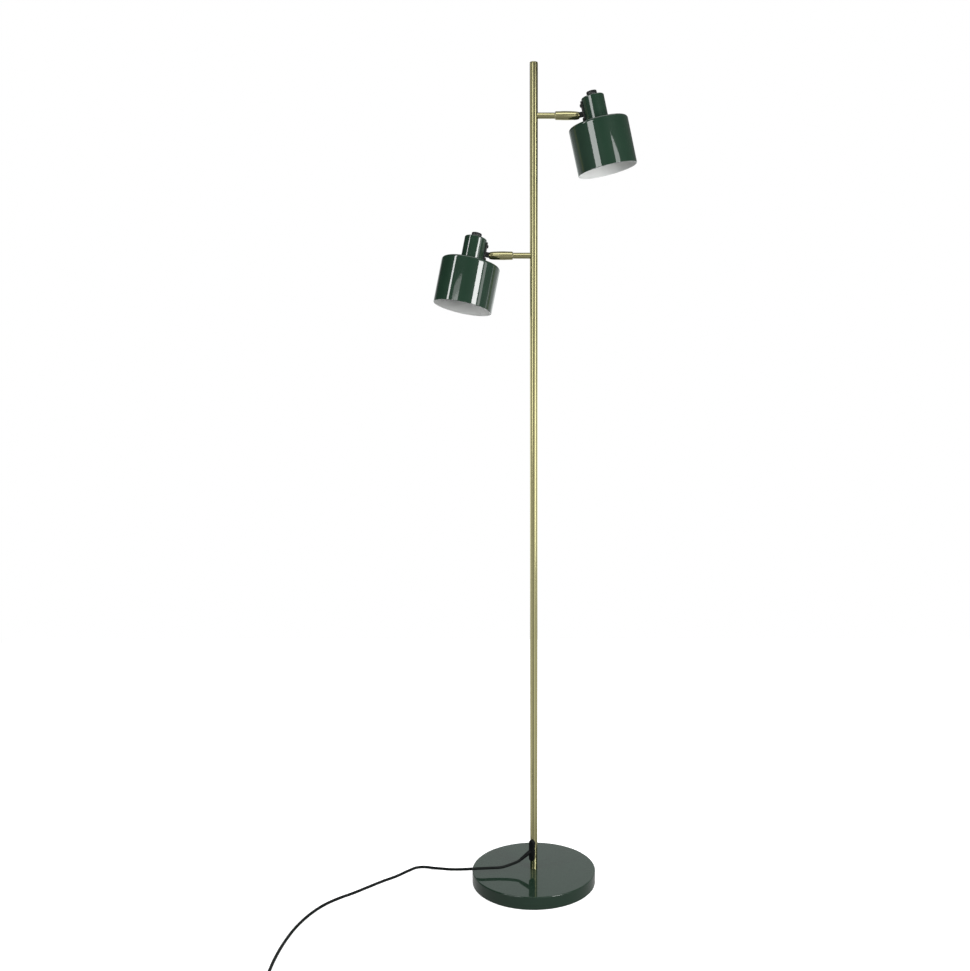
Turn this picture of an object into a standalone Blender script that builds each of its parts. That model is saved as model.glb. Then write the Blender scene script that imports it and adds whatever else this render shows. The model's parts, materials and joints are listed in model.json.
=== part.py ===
"""Adjustable arm floor lamp.

A slim brass pole stands on a round lacquered base. Two spot heads sit on short horizontal arms,
the upper one to the right (+X) and the lower one to the left (-X). Each head swivels about its
arm, tilts on a pin in the end of the arm's barrel, and has a rotary switch on top of its cup.
A mains lead leaves the pole just above the base and ends in a tied coil with a flat plug.

Metres, +Z up. The origin is on the floor under the pole, and -Y is the lamp's front.
"""

import math

import bmesh
import bpy
from mathutils import Matrix, Vector

# ---------------------------------------------------------------- driving dimensions
GAP = 0.0003                 # air left between neighbouring pieces

LAMP_HEIGHT = 1.500
BASE_RADIUS = 0.119
BASE_HEIGHT = 0.0265
BASE_WALL = 0.0015
BASE_EDGE = 0.0025           # rounding of the cover's top edge
PAD_RADIUS = 0.1135
PAD_THICKNESS = 0.0025
SKIRT_BOTTOM = 0.0012        # the cover's skirt hangs this far above the floor
WEIGHT_RADIUS = 0.112

POLE_RADIUS = 0.0070
POLE_WALL = 0.0012
CAP_HEIGHT = 0.0035
STUB_RADIUS = 0.0039         # M8 stub and nipples
STUB_CLEAR = 0.0042          # plain hole round an M8 thread

UPPER_ARM_Z = 1.412
LOWER_ARM_Z = 1.178
ROD_RADIUS = 0.0051
ROD_WALL = 0.0008
ROD_END = 0.0360             # from the pole's axis, along the arm
WASHER_THICKNESS = 0.0008
WASHER_RADIUS = 0.0064
BARREL_END = 0.0788
BARREL_BORE_END = 0.0520
NIPPLE_END = 0.0480
GRUB_X = 0.0450

PIVOT_X = 0.0745             # tilt pin, from the pole's axis
PIVOT_HOLE = 0.0018
PIVOT_SCREW = 0.0015
CHEEK_FACE = 0.0055          # spot-faced flats round the pin, half the distance between them
TONGUE_HALF_THICK = 0.0015
TONGUE_HALF_HIGH = 0.0045
SLOT_HALF = 0.0018

HEAD_OFFSET = 0.0327         # tilt pin to the head's axis
SHADE_DROP = 0.0198          # tilt pin's level down to the top of the shade
SHADE_RADIUS = 0.0520
SHADE_HEIGHT = 0.0800
SHADE_WALL = 0.0010
SHADE_EDGE = 0.0045
SHADE_HOLE = 0.0150
CUP_RADIUS = 0.0198
CUP_HEIGHT = 0.0450
CUP_WALL = 0.0012
CUP_EDGE = 0.0025
STRAP_THICKNESS = 0.0022
STRAP_HALF_WIDTH = 0.0055
STRAP_LOW, STRAP_HIGH = -0.0140, 0.0215
STRAP_SCREWS = {"top": 0.0140, "bottom": -0.0090}
KNOB_RADIUS = 0.0090
KNOB_HEIGHT = 0.0080
BULB_RADIUS = 0.0225
BULB_CENTRE = -0.0400        # below the shade's top

CORD_RADIUS = 0.0027
GLAND_AZIMUTH = math.radians(27)   # from the front towards -X
GLAND_Z = 0.0668
GLAND_HALF_LENGTH = 0.0215
GLAND_HALF_WIDTH = 0.00550
GLAND_FACE = 0.0115          # outer face, from the pole's axis
RELIEF_LENGTH = 0.021
RELIEF_START = Vector((-0.0087, -0.0070, 0.0625))
RELIEF_AIM = Vector((-0.775, -0.190, -0.600))

# The lead's centreline past the strain relief, chosen by hand: it hangs over the base, drops to
# the floor behind the base's left side, turns and runs forward to the coil.
CORD_ROUTE = [
    (-0.0430, -0.0160, 0.0425),
    (-0.0620, -0.0215, 0.0388),
    (-0.0840, -0.0235, 0.0382),
    (-0.1040, -0.0250, 0.0380),
    (-0.1220, -0.0220, 0.0355),
    (-0.1430, -0.0090, 0.0285),
    (-0.1640, 0.0100, 0.0195),
    (-0.1840, 0.0320, 0.0105),
    (-0.1990, 0.0460, 0.0050),
    (-0.2150, 0.0550, 0.0027),
    (-0.2325, 0.0530, 0.0027),
    (-0.2480, 0.0390, 0.0027),
    (-0.2690, 0.0150, 0.0027),
    (-0.2940, -0.0070, 0.0027),
    (-0.3180, -0.0310, 0.0027),
    (-0.3420, -0.0550, 0.0027),
    (-0.3650, -0.0750, 0.0027),
    (-0.3880, -0.1010, 0.0027),
    (-0.4080, -0.1380, 0.0027),
    (-0.4230, -0.1840, 0.0027),
    (-0.4320, -0.2360, 0.0027),
    (-0.4360, -0.2900, 0.0027),
    (-0.4360, -0.3350, 0.0027),
    (-0.4360, -0.3740, 0.0036),
]
CORD_STEP = 0.0140           # spacing of the tube's points

COIL_CENTRE = Vector((-0.4016, -0.3940))
COIL_MIDDLE_RADIUS = 0.0290  # middle of the turns
COIL_HALF_WIDTH = 0.0081     # three turns side by side
COIL_HEIGHT = 0.0110         # two layers
COIL_LIFT = 0.0012           # the tie passes under the coil

PLUG_START = Vector((COIL_CENTRE.x + 0.0216, COIL_CENTRE.y - 0.0344, 0.0069))
PLUG_LENGTH = 0.056
PLUG_HALF_WIDTH = 0.0176
PLUG_HALF_THICK = 0.0068
PIN_SPACING = 0.0186
PIN_LENGTH = 0.019
PIN_RADIUS = 0.0020

HEADS = {
    # name: arm height, arm's turn about the pole, swivel about the arm, tilt on the pin (degrees)
    "upper": (UPPER_ARM_Z, 0.0, -0.8, -12.9),
    "lower": (LOWER_ARM_Z, 180.0, 9.1, -11.1),
}

# ---------------------------------------------------------------- materials
FINISHES = {
    # name: linear colour, metallic, roughness
    "green_lacquer": ((0.018, 0.048, 0.032), 0.0, 0.18),
    "satin_brass": ((0.52, 0.44, 0.22), 1.0, 0.30),
    "black_steel": ((0.020, 0.020, 0.020), 0.6, 0.40),
    "black_plastic": ((0.012, 0.013, 0.013), 0.0, 0.40),
    "black_rubber": ((0.010, 0.010, 0.010), 0.0, 0.60),
    "zinc_steel": ((0.55, 0.55, 0.55), 1.0, 0.35),
    "cast_iron": ((0.050, 0.050, 0.052), 0.7, 0.70),
    "opal_glass": ((0.85, 0.85, 0.83), 0.0, 0.25),
    "white_plastic": ((0.75, 0.75, 0.73), 0.0, 0.45),
}


def finish(name):
    material = bpy.data.materials.get(name)
    if material is None:
        colour, metallic, roughness = FINISHES[name]
        material = bpy.data.materials.new(name)
        material.use_nodes = True
        shader = material.node_tree.nodes["Principled BSDF"]
        shader.inputs["Base Color"].default_value = (*colour, 1.0)
        shader.inputs["Metallic"].default_value = metallic
        shader.inputs["Roughness"].default_value = roughness
        material.diffuse_color = (*colour, 1.0)
    return material


# ---------------------------------------------------------------- building blocks
def place(name, mesh, look, parent=None, matrix=None):
    """Links an object with one material, under a parent empty, round faces shaded smooth."""
    obj = bpy.data.objects.new(name, mesh)
    bpy.context.collection.objects.link(obj)
    mesh.materials.append(finish(look))
    mesh.shade_smooth()
    mesh.set_sharp_from_angle(angle=math.radians(32))
    obj.parent = parent
    if matrix is not None:
        obj.matrix_local = matrix
    return obj


def mesh_from(bm, name):
    bmesh.ops.recalc_face_normals(bm, faces=bm.faces[:])
    mesh = bpy.data.meshes.new(name)
    bm.to_mesh(mesh)
    bm.free()
    return mesh


def arc(centre_r, centre_h, radius, start, end, steps):
    """Points of a circular arc in a profile, angles in degrees from +r towards +h."""
    points = []
    for i in range(steps + 1):
        a = math.radians(start + (end - start) * i / steps)
        points.append((centre_r + radius * math.cos(a), centre_h + radius * math.sin(a)))
    return points


def lathe_mesh(name, outline, sides, axis="Z", hexagon=(), first=0.0):
    """Turns a closed (radius, height) outline about an axis. The outline runs up its outer side.

    Outline points whose index is in hexagon lie on a hexagon with that radius as its apothem.
    The first facet edge stands at the angle first.
    """
    bm = bmesh.new()
    rings = []
    for index, (r, h) in enumerate(outline):
        ring = []
        for k in range(1 if r == 0 else sides):
            a = first + 2 * math.pi * k / sides
            reach = r
            if index in hexagon:
                reach = r / math.cos((a + math.pi / 6) % (math.pi / 3) - math.pi / 6)
            c, s = reach * math.cos(a), reach * math.sin(a)
            ring.append(bm.verts.new({"Z": (c, s, h), "X": (h, c, s), "Y": (s, h, c)}[axis]))
        rings.append(ring)
    for low, high in zip(rings, rings[1:] + rings[:1]):
        if len(low) == 1 and len(high) == 1:
            continue
        for k in range(sides):
            n = (k + 1) % sides
            if len(low) == 1:
                bm.faces.new((low[0], high[n], high[k]))
            elif len(high) == 1:
                bm.faces.new((low[k], low[n], high[0]))
            else:
                bm.faces.new((low[k], low[n], high[n], high[k]))
    return mesh_from(bm, name)


def lathe(name, outline, sides, look, parent=None, matrix=None, axis="Z", hexagon=()):
    mesh = lathe_mesh(name, outline, sides, axis, hexagon)
    return place(name, mesh, look, parent, matrix)


def loft(name, sections, look, parent=None, matrix=None):
    """Skins closed loops of equal point counts and caps both ends."""
    bm = bmesh.new()
    loops = [[bm.verts.new(p) for p in section] for section in sections]
    count = len(loops[0])
    for a, b in zip(loops, loops[1:]):
        for k in range(count):
            n = (k + 1) % count
            bm.faces.new((a[k], a[n], b[n], b[k]))
    bm.faces.new(list(reversed(loops[0])))
    bm.faces.new(loops[-1])
    return place(name, mesh_from(bm, name), look, parent, matrix)


def stadium(half_width, low, high, steps=6):
    """Outline of a slot with round ends, long side vertical, as (across, up) pairs."""
    top = [
        (half_width * math.cos(a), high - half_width + half_width * math.sin(a))
        for a in (math.pi * i / steps for i in range(steps + 1))
    ]
    bottom = [
        (half_width * math.cos(a), low + half_width + half_width * math.sin(a))
        for a in (math.pi + math.pi * i / steps for i in range(steps + 1))
    ]
    return top + bottom


def cutter(obj):
    obj.hide_render = True
    obj.display_type = "WIRE"
    return obj


def rod_cutter(name, radius, low, high, axis, parent=None, matrix=None, sides=20):
    """A round cutter, turned a little so that no facet edge lines up with the piece it cuts."""
    outline = [(0, low), (radius, low), (radius, high), (0, high)]
    mesh = lathe_mesh(name, outline, sides, axis, first=0.11)
    return cutter(place(name, mesh, "zinc_steel", parent, matrix))


def box_cutter(name, low, high, parent=None, matrix=None):
    (x0, y0, z0), (x1, y1, z1) = low, high
    sections = [[(x, y0, z0), (x, y1, z0), (x, y1, z1), (x, y0, z1)] for x in (x0, x1)]
    return cutter(loft(name, sections, "zinc_steel", parent, matrix))


def combine(obj, tool, operation="DIFFERENCE"):
    modifier = obj.modifiers.new(operation.lower(), "BOOLEAN")
    modifier.operation = operation
    modifier.solver = "EXACT"
    modifier.object = tool


def empty(name, parent, matrix):
    axis = bpy.data.objects.new(name, None)
    axis.empty_display_size = 0.02
    bpy.context.collection.objects.link(axis)
    axis.parent = parent
    axis.matrix_local = matrix
    return axis


def shift(x=0.0, y=0.0, z=0.0):
    return Matrix.Translation((x, y, z))


# ---------------------------------------------------------------- base
def build_base():
    top, wall, edge = BASE_HEIGHT, BASE_WALL, BASE_EDGE
    inner_top = top - wall
    cover = [(BASE_RADIUS - wall, SKIRT_BOTTOM), (BASE_RADIUS - 0.0005, SKIRT_BOTTOM)]
    cover += [(BASE_RADIUS, SKIRT_BOTTOM + 0.0008)]
    cover += arc(BASE_RADIUS - edge, top - edge, edge, 0, 90, 2)
    cover += [(STUB_CLEAR, top), (STUB_CLEAR, inner_top)]
    cover += arc(BASE_RADIUS - edge, top - edge, edge - wall, 90, 0, 1)
    lathe("base_cover", cover, 52, "green_lacquer")

    low, high = PAD_THICKNESS + GAP, inner_top - GAP
    pocket_radius, pocket_top, chamfer = 0.0145, 0.0125, 0.0015
    weight = [
        (pocket_radius, low),
        (WEIGHT_RADIUS - chamfer, low),
        (WEIGHT_RADIUS, low + chamfer),
        (WEIGHT_RADIUS, high - chamfer),
        (WEIGHT_RADIUS - chamfer, high),
        (STUB_CLEAR, high),
        (STUB_CLEAR, pocket_top),
        (pocket_radius, pocket_top),
    ]
    lathe("base_weight", weight, 28, "cast_iron")

    bevel = 0.0006
    pad = [
        (0, 0),
        (PAD_RADIUS - bevel, 0),
        (PAD_RADIUS, bevel),
        (PAD_RADIUS, PAD_THICKNESS),
        (0, PAD_THICKNESS),
    ]
    lathe("floor_pad", pad, 36, "black_rubber")

    washer_top = pocket_top - GAP
    washer_low = washer_top - 0.0016
    washer = [
        (STUB_CLEAR, washer_low),
        (0.0120, washer_low),
        (0.0120, washer_top),
        (STUB_CLEAR, washer_top),
    ]
    lathe("fixing_washer", washer, 20, "zinc_steel")

    nut_top = washer_low - GAP
    nut_low = nut_top - 0.0062
    nut = [
        (STUB_CLEAR, nut_low),
        (0.0065, nut_low),
        (0.0065, nut_top),
        (STUB_CLEAR, nut_top),
    ]
    lathe("fixing_nut", nut, 24, "zinc_steel", hexagon=(1, 2))

    stub_low, stub_high, tip = 0.0035, 0.0410, 0.0004
    stub = [
        (0, stub_low),
        (STUB_RADIUS - tip, stub_low),
        (STUB_RADIUS, stub_low + tip),
        (STUB_RADIUS, stub_high - tip),
        (STUB_RADIUS - tip, stub_high),
        (0, stub_high),
    ]
    lathe("threaded_stub", stub, 16, "zinc_steel")


# ---------------------------------------------------------------- pole
def gland_frame():
    """Local +X points out of the pole at the gland, +Y to the gland's right, +Z up."""
    out = Vector((-math.sin(GLAND_AZIMUTH), -math.cos(GLAND_AZIMUTH), 0.0))
    side = Vector((0, 0, 1)).cross(out)
    turn = Matrix((out, side, (0, 0, 1))).transposed().to_4x4()
    return shift(z=GLAND_Z) @ turn


def build_pole():
    bore = POLE_RADIUS - POLE_WALL
    foot = BASE_HEIGHT + GAP
    top = LAMP_HEIGHT - CAP_HEIGHT
    tube = [(bore, foot), (POLE_RADIUS, foot), (POLE_RADIUS, top), (bore, top)]
    pole = lathe("pole", tube, 28, "satin_brass")
    hole = STUB_RADIUS + 2 * GAP
    for name, (height, turn, _, _) in HEADS.items():
        spot = shift(z=height) @ Matrix.Rotation(math.radians(turn), 4, "Z")
        combine(pole, rod_cutter(f"{name}_arm_hole", hole, 0, 0.009, "X", matrix=spot))
    lead_slot = [[(x, y, z) for y, z in stadium(0.0032, -0.0150, 0.0150)] for x in (0, 0.009)]
    combine(pole, cutter(loft("lead_slot", lead_slot, "zinc_steel", matrix=gland_frame())))

    plug_radius = bore - GAP
    plug = [
        (STUB_CLEAR, foot + GAP),
        (plug_radius, foot + GAP),
        (plug_radius, 0.0430),
        (STUB_CLEAR, 0.0430),
    ]
    lathe("pole_foot_plug", plug, 20, "zinc_steel")

    low, rim = top + GAP, 0.0010
    cap = [
        (0, top - 0.0120),
        (plug_radius - 0.0003, top - 0.0120),
        (plug_radius, top - 0.0115),
        (plug_radius, low),
        (POLE_RADIUS - 0.0002, low),
        (POLE_RADIUS, low + 0.0002),
        (POLE_RADIUS, low + rim),
        (POLE_RADIUS * 0.88, LAMP_HEIGHT - 0.0011),
        (POLE_RADIUS * 0.50, LAMP_HEIGHT - 0.0002),
        (0, LAMP_HEIGHT),
    ]
    lathe("pole_top_cap", cap, 22, "satin_brass")


# ---------------------------------------------------------------- arm
def build_arm(name, arm):
    insert_radius = POLE_RADIUS - POLE_WALL - GAP
    insert_half = 0.0080
    block = [
        (0, -insert_half),
        (insert_radius, -insert_half),
        (insert_radius, insert_half),
        (0, insert_half),
    ]
    insert = lathe(f"{name}_arm_insert", block, 20, "satin_brass", arm)
    combine(insert, rod_cutter(f"{name}_insert_thread", STUB_CLEAR, -0.0025, 0.009, "X", arm))
    wire_way = shift(x=-0.0030)
    wire = rod_cutter(f"{name}_insert_wire_way", 0.0016, -0.010, 0.010, "Z", arm, wire_way, 12)
    combine(insert, wire)

    nipple = [
        (0.0022, -0.0010),
        (STUB_RADIUS, -0.0010),
        (STUB_RADIUS, NIPPLE_END),
        (0.0022, NIPPLE_END),
    ]
    lathe(f"{name}_arm_nipple", nipple, 16, "zinc_steel", arm, axis="X")

    bore = ROD_RADIUS - ROD_WALL
    tube = [(bore, 0.0030), (ROD_RADIUS, 0.0030), (ROD_RADIUS, ROD_END), (bore, ROD_END)]
    rod = lathe(f"{name}_arm_rod", tube, 24, "satin_brass", arm, axis="X")
    saddle = rod_cutter(
        f"{name}_arm_saddle", POLE_RADIUS + GAP, -0.012, 0.012, "Z", arm, sides=40
    )
    combine(rod, saddle)

    low = ROD_END + GAP
    high = low + WASHER_THICKNESS
    washer = [(bore, low), (WASHER_RADIUS, low), (WASHER_RADIUS, high), (bore, high)]
    lathe(f"{name}_swivel_washer", washer, 20, "satin_brass", arm, axis="X")


# ---------------------------------------------------------------- swivel barrel
def build_barrel(name, swivel):
    bore = ROD_RADIUS - ROD_WALL
    wire_way = 0.0015
    start = ROD_END + WASHER_THICKNESS + 2 * GAP
    outline = [
        (bore, start),
        (0.0066, start),
        (0.0069, start + 0.0004),
        (0.0071, 0.0440),
        (0.00735, 0.0520),
        (0.0073, 0.0610),
        (0.0070, 0.0690),
        (0.0066, 0.0740),
        (0.0060, 0.0773),
        (0.0052, BARREL_END),
        (wire_way, BARREL_END),
        (wire_way, BARREL_BORE_END),
        (bore, BARREL_BORE_END),
    ]
    barrel = lathe(f"{name}_swivel_barrel", outline, 20, "satin_brass", swivel, axis="X")
    pin = shift(x=PIVOT_X)
    slot = box_cutter(
        f"{name}_barrel_slot",
        (-0.0052, -SLOT_HALF, -0.010),
        (0.010, SLOT_HALF, 0.010),
        swivel,
        pin,
    )
    hole = rod_cutter(f"{name}_pivot_hole", PIVOT_HOLE, -0.010, 0.010, "Y", swivel, pin, 16)
    combine(barrel, hole)
    combine(barrel, slot)
    for side, sign in (("front", -1), ("back", 1)):
        low, high = sorted((sign * CHEEK_FACE, sign * 0.009))
        face = rod_cutter(f"{name}_spot_face_{side}", 0.0030, low, high, "Y", swivel, pin, 18)
        combine(barrel, face)
    down = shift(x=GRUB_X)
    grub_hole = rod_cutter(f"{name}_grub_hole", 0.0017, -0.009, -0.002, "Z", swivel, down, 12)
    combine(barrel, grub_hole)

    grub_low, grub_high = -0.0070, -STUB_RADIUS - GAP
    grub = [(0, grub_low), (0.0014, grub_low), (0.0014, grub_high), (0, grub_high)]
    lathe(f"{name}_swivel_grub_screw", grub, 12, "black_steel", swivel, down)

    face = CHEEK_FACE + GAP
    crown = 0.0069
    screw = [
        (0, -crown),
        (0.0022, -crown),
        (0.0027, -crown + 0.0004),
        (0.0027, -face),
        (PIVOT_SCREW, -face),
        (PIVOT_SCREW, crown - 0.0004),
        (0, crown - 0.0004),
    ]
    lathe(f"{name}_pivot_screw", screw, 16, "satin_brass", swivel, pin, "Y")
    nut = [(PIVOT_HOLE, face), (0.0027, face), (0.0027, crown), (PIVOT_HOLE, crown)]
    lathe(f"{name}_pivot_nut", nut, 16, "satin_brass", swivel, pin, "Y")


# ---------------------------------------------------------------- head
def build_bracket(name, tilt):
    """A strap that hugs the cup, with a tongue that runs into the barrel's slot."""
    strap_face = HEAD_OFFSET - CUP_RADIUS - GAP - STRAP_THICKNESS
    outline = stadium(STRAP_HALF_WIDTH, STRAP_LOW, STRAP_HIGH)
    edge = 0.0005
    inner = stadium(STRAP_HALF_WIDTH - edge, STRAP_LOW + edge, STRAP_HIGH - edge)
    sections = [
        [(strap_face, y, z) for y, z in inner],
        [(strap_face + edge, y, z) for y, z in outline],
        [(HEAD_OFFSET - CUP_RADIUS + 0.0030, y, z) for y, z in outline],
    ]
    bracket = loft(f"{name}_head_bracket", sections, "black_steel", tilt)
    around = shift(x=HEAD_OFFSET)
    hug = rod_cutter(
        f"{name}_cup_saddle", CUP_RADIUS + GAP, -0.030, 0.030, "Z", tilt, around, 56
    )
    combine(bracket, hug)

    root = strap_face + STRAP_THICKNESS / 2
    r = TONGUE_HALF_HIGH
    steps = 8
    tip = [math.pi / 2 + math.pi * i / steps for i in range(steps + 1)]
    profile = [(r * math.cos(a), r * math.sin(a)) for a in tip] + [(root, -r), (root, r)]
    plates = [[(x, y, z) for x, z in profile] for y in (-TONGUE_HALF_THICK, TONGUE_HALF_THICK)]
    tongue = cutter(loft(f"{name}_tongue", plates, "black_steel", tilt))
    combine(bracket, tongue, "UNION")
    hole = rod_cutter(f"{name}_tongue_hole", PIVOT_HOLE, -0.004, 0.004, "Y", tilt, sides=16)
    combine(bracket, hole)

    plate_outer = CUP_RADIUS - CUP_WALL - GAP
    plate_inner = plate_outer - 0.0016
    reach = math.radians(16)
    corners = []
    for i in range(5):
        a = math.pi - reach + 2 * reach * i / 4
        corners.append((math.cos(a), math.sin(a)))
    ends = []
    for z in (STRAP_LOW + 0.0020, STRAP_HIGH - 0.0040):
        loop = [(HEAD_OFFSET + plate_outer * c, plate_outer * s, z) for c, s in corners]
        loop += [
            (HEAD_OFFSET + plate_inner * c, plate_inner * s, z) for c, s in reversed(corners)
        ]
        ends.append(loop)
    backing = loft(f"{name}_backing_strip", ends, "zinc_steel", tilt)

    holes = []
    cup_face = HEAD_OFFSET - CUP_RADIUS
    for place_name, height in STRAP_SCREWS.items():
        spot = shift(z=height)
        drill = rod_cutter(
            f"{name}_strap_hole_{place_name}", 0.0017, 0.006, 0.020, "X", tilt, spot, 12
        )
        holes.append(drill)
        combine(bracket, drill)
        combine(backing, drill)
        seat = strap_face - GAP
        screw = [
            (0, seat - 0.0019),
            (0.0015, seat - 0.0018),
            (0.0025, seat - 0.0012),
            (0.0028, seat - 0.0005),
            (0.0028, seat),
            (0.0014, seat),
            (0.0014, cup_face + 0.0026),
            (0, cup_face + 0.0026),
        ]
        lathe(
            f"{name}_bracket_screw_{place_name}", screw, 14, "black_steel", tilt, spot, "X"
        )
    return holes


def build_shell(name, shell, strap_holes):
    """Cup, shade and what they hold. Heights are measured from the top of the shade."""
    radius, top, wall, edge = CUP_RADIUS, CUP_HEIGHT, CUP_WALL, CUP_EDGE
    hole = 0.0055
    cup = [(radius - wall, GAP), (radius, GAP)]
    cup += arc(radius - edge, top - edge, edge, 0, 90, 2)
    cup += [(hole, top), (hole, top - wall)]
    cup += arc(radius - edge, top - edge, edge - wall, 90, 0, 1)
    socket_cup = lathe(f"{name}_socket_cup", cup, 32, "green_lacquer", shell)
    for drill in strap_holes:
        combine(socket_cup, drill)

    radius, wall, edge = SHADE_RADIUS, SHADE_WALL, SHADE_EDGE
    shade = [(radius - wall, -SHADE_HEIGHT), (radius, -SHADE_HEIGHT)]
    shade += arc(radius - edge, -edge, edge, 0, 90, 3)
    shade += [(SHADE_HOLE, 0), (SHADE_HOLE, -wall)]
    shade += arc(radius - edge, -edge, edge - wall, 90, 0, 2)
    lathe(f"{name}_shade", shade, 40, "green_lacquer", shell)

    body, mouth, bore = 0.0135, -0.0120, 0.0078
    holder = [
        (bore, mouth),
        (body - 0.0006, mouth),
        (body, mouth + 0.0006),
        (body, GAP),
        (0.0170, GAP),
        (0.0170, 0.0021),
        (body, 0.0021),
        (body, 0.0280),
        (body - 0.0010, 0.0290),
        (0, 0.0290),
        (0, 0.0160),
        (bore, 0.0160),
    ]
    lathe(f"{name}_lampholder", holder, 20, "black_plastic", shell)

    ring_high = -SHADE_WALL - GAP
    ring_low = ring_high - 0.0035
    ring = [
        (body + GAP, ring_low),
        (0.0188, ring_low),
        (0.0195, ring_low + 0.0007),
        (0.0195, ring_high),
        (body + GAP, ring_high),
    ]
    lathe(f"{name}_shade_ring", ring, 24, "black_plastic", shell)

    cap_low = -0.0140
    cap = [
        (0, cap_low),
        (0.0067, cap_low),
        (0.0067, 0.0100),
        (0.0030, 0.0125),
        (0.0024, 0.0140),
        (0, 0.0140),
    ]
    lathe(f"{name}_bulb_cap", cap, 16, "zinc_steel", shell)

    glass_wall, neck_top = 0.0008, cap_low - GAP
    outer = arc(0, BULB_CENTRE, BULB_RADIUS, -90, 48, 6)
    outer[0] = (0, BULB_CENTRE - BULB_RADIUS)
    outer += [(0.0102, -0.0192), (0.0076, -0.0168), (0.0066, neck_top)]
    inner = [(0.0058, neck_top), (0.0068, -0.0172), (0.0094, -0.0198)]
    inner += arc(0, BULB_CENTRE, BULB_RADIUS - glass_wall, 46, -90, 5)
    inner[-1] = (0, BULB_CENTRE - BULB_RADIUS + glass_wall)
    lathe(f"{name}_bulb_glass", outer + inner, 18, "opal_glass", shell)

    under = CUP_HEIGHT - CUP_WALL - 0.0006
    neck, neck_end = 0.0048, CUP_HEIGHT + 0.0045
    switch = [
        (0, under - 0.0092),
        (0.0095, under - 0.0092),
        (0.0095, under),
        (neck, under),
        (neck, neck_end),
        (0, neck_end),
    ]
    lathe(f"{name}_switch_body", switch, 20, "black_plastic", shell)
    return neck, neck_end


def build_knob(name, shell, neck, neck_end):
    axis = empty(f"{name}_switch_axis", shell, shift(z=CUP_HEIGHT))
    low, high = 0.0004, 0.0004 + KNOB_HEIGHT
    cavity = neck + 0.0005
    roof = neck_end - CUP_HEIGHT + 0.0005
    chamfer = 0.0008
    outline = [
        (cavity, low),
        (KNOB_RADIUS - 0.0002, low),
        (KNOB_RADIUS, low + 0.0002),
        (KNOB_RADIUS, high - chamfer),
        (KNOB_RADIUS - chamfer, high),
        (0, high),
        (0, roof),
        (cavity, roof),
    ]
    lathe(f"{name}_switch_knob", outline, 20, "black_plastic", axis)


def build_heads():
    for name, (height, turn, swivel_angle, tilt_angle) in HEADS.items():
        around = Matrix.Rotation(math.radians(turn), 4, "Z")
        arm = empty(f"{name}_arm", None, shift(z=height) @ around)
        build_arm(name, arm)
        roll = Matrix.Rotation(math.radians(swivel_angle), 4, "X")
        swivel = empty(f"{name}_swivel_axis", arm, roll)
        build_barrel(name, swivel)
        nod = Matrix.Rotation(math.radians(tilt_angle), 4, "Y")
        tilt = empty(f"{name}_tilt_axis", swivel, shift(x=PIVOT_X) @ nod)
        strap_holes = build_bracket(name, tilt)
        shell = empty(f"{name}_shell", tilt, shift(x=HEAD_OFFSET, z=-SHADE_DROP))
        neck, neck_end = build_shell(name, shell, strap_holes)
        build_knob(name, shell, neck, neck_end)


# ---------------------------------------------------------------- mains lead
def build_gland():
    frame = gland_frame()
    bevel = 0.0015
    full = stadium(GLAND_HALF_WIDTH, -GLAND_HALF_LENGTH, GLAND_HALF_LENGTH)
    slim = stadium(
        GLAND_HALF_WIDTH - bevel, -GLAND_HALF_LENGTH + bevel, GLAND_HALF_LENGTH - bevel
    )
    sections = [
        [(0.0035, y, z) for y, z in full],
        [(GLAND_FACE - bevel, y, z) for y, z in full],
        [(GLAND_FACE, y, z) for y, z in slim],
    ]
    gland = loft("cable_gland", sections, "black_rubber", matrix=frame)
    hug = rod_cutter("gland_saddle", POLE_RADIUS + GAP, 0.030, 0.100, "Z", sides=40)
    combine(gland, hug)
    groove = box_cutter(
        "gland_groove", (GLAND_FACE - 0.0006, -0.0004, -0.030), (0.014, 0.0004, 0.030),
        matrix=frame,
    )
    combine(gland, groove)

    aim = RELIEF_AIM.normalized()
    turn = aim.to_track_quat("Z", "Y").to_matrix().to_4x4()
    tail = 0.006
    taper = [
        (0, -tail),
        (0.0040, -tail),
        (0.0039, 0.004),
        (0.0035, 0.014),
        (0.0032, RELIEF_LENGTH),
        (0, RELIEF_LENGTH),
    ]
    spot = Matrix.Translation(RELIEF_START) @ turn
    relief = lathe("strain_relief", taper, 16, "black_rubber", matrix=spot)
    clear = GLAND_HALF_WIDTH + GAP
    block = box_cutter("gland_clearance", (-0.02, -clear, -0.03), (0.03, 0.03, 0.03),
                       matrix=frame)
    combine(relief, block)


def smooth_route(points, per_span=24):
    """Centripetal Catmull-Rom curve through the points."""
    knots = [Vector(p) for p in points]
    knots = [2 * knots[0] - knots[1], *knots, 2 * knots[-1] - knots[-2]]
    curve = []
    for a, b, c, d in zip(knots, knots[1:], knots[2:], knots[3:]):
        t1 = (b - a).length ** 0.5
        t2 = t1 + (c - b).length ** 0.5
        t3 = t2 + (d - c).length ** 0.5
        for i in range(per_span):
            t = t1 + (t2 - t1) * i / per_span
            ab = a.lerp(b, t / t1)
            bc = b.lerp(c, (t - t1) / (t2 - t1))
            cd = c.lerp(d, (t - t2) / (t3 - t2))
            abc = ab.lerp(bc, t / t2)
            bcd = bc.lerp(cd, (t - t1) / (t3 - t1))
            curve.append(abc.lerp(bcd, (t - t1) / (t2 - t1)))
    curve.append(knots[-2])
    return curve


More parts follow.
